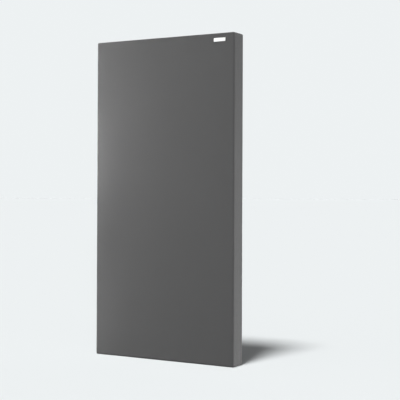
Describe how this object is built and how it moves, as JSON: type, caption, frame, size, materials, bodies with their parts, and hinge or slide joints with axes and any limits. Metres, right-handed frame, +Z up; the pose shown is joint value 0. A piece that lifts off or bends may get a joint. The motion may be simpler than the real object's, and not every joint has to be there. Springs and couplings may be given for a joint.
{
  "type": "acoustic absorption panel",
  "caption": "Upright slab in a timber frame, wrapped in grey cloth that turns onto the back, with swinging D-ring hangers and rubber wall bumpers behind.",
  "frame": {"origin": "centre of the panel's bottom face, which it stands on", "axes": "+Z up along the height, -Y out of the front, +X to the right as seen from the front"},
  "size_m": [0.6, 0.0803, 1.2],
  "materials": {
    "grey_cloth": "matte",
    "white_fleece": "matte",
    "mineral_slab": "matte",
    "pine": "matte",
    "plywood": "matte",
    "black_nonwoven": "matte",
    "zinc_plate": "satin",
    "yellow_zinc": "satin",
    "black_rubber": "matte",
    "white_plastic": "satin",
    "foam_tape": "matte"
  },
  "bodies": {
    "panel": {"fabric_cover": "grey_cloth", "fleece_liner": "white_fleece", "core_slab": "mineral_slab", "left_stile": "pine", "right_stile": "pine", "top_rail": "pine", "bottom_rail": "pine", "cross_brace": "plywood", "corner_block_top_left": "plywood", "corner_block_top_right": "plywood", "corner_block_bottom_left": "plywood", "corner_block_bottom_right": "plywood", "back_cloth": "black_nonwoven", "frame_screw_top_left_front": "yellow_zinc", "frame_screw_top_left_back": "yellow_zinc", "frame_screw_top_right_front": "yellow_zinc", "frame_screw_top_right_back": "yellow_zinc", "frame_screw_bottom_left_front": "yellow_zinc", "frame_screw_bottom_left_back": "yellow_zinc", "frame_screw_bottom_right_front": "yellow_zinc", "frame_screw_bottom_right_back": "yellow_zinc", "brace_screw_top_left": "yellow_zinc", "brace_screw_top_right": "yellow_zinc", "brace_screw_bottom_left": "yellow_zinc", "brace_screw_bottom_right": "yellow_zinc", "left_hanger_strap": "zinc_plate", "right_hanger_strap": "zinc_plate", "hanger_screw_left_upper": "zinc_plate", "hanger_screw_left_lower": "zinc_plate", "hanger_screw_right_upper": "zinc_plate", "hanger_screw_right_lower": "zinc_plate", "wall_bumper_top_left": "black_rubber", "wall_bumper_top_right": "black_rubber", "wall_bumper_bottom_left": "black_rubber", "wall_bumper_bottom_right": "black_rubber", "bumper_screw_top_left": "zinc_plate", "bumper_screw_top_right": "zinc_plate", "bumper_screw_bottom_left": "zinc_plate", "bumper_screw_bottom_right": "zinc_plate", "badge": "white_plastic", "badge_pad": "foam_tape"},
    "left_ring": {"left_ring": "zinc_plate"},
    "right_ring": {"right_ring": "zinc_plate"}
  },
  "joints": [
    {"name": "left_ring_swing", "type": "hinge", "parent": "panel", "child": "left_ring", "pos_m": [-0.2847, 0.0385, 1.05], "axis": [1, 0, 0], "range_deg": [0, 180.6]},
    {"name": "right_ring_swing", "type": "hinge", "parent": "panel", "child": "right_ring", "pos_m": [0.2847, 0.0385, 1.05], "axis": [1, 0, 0], "range_deg": [0, 180.6]}
  ]
}
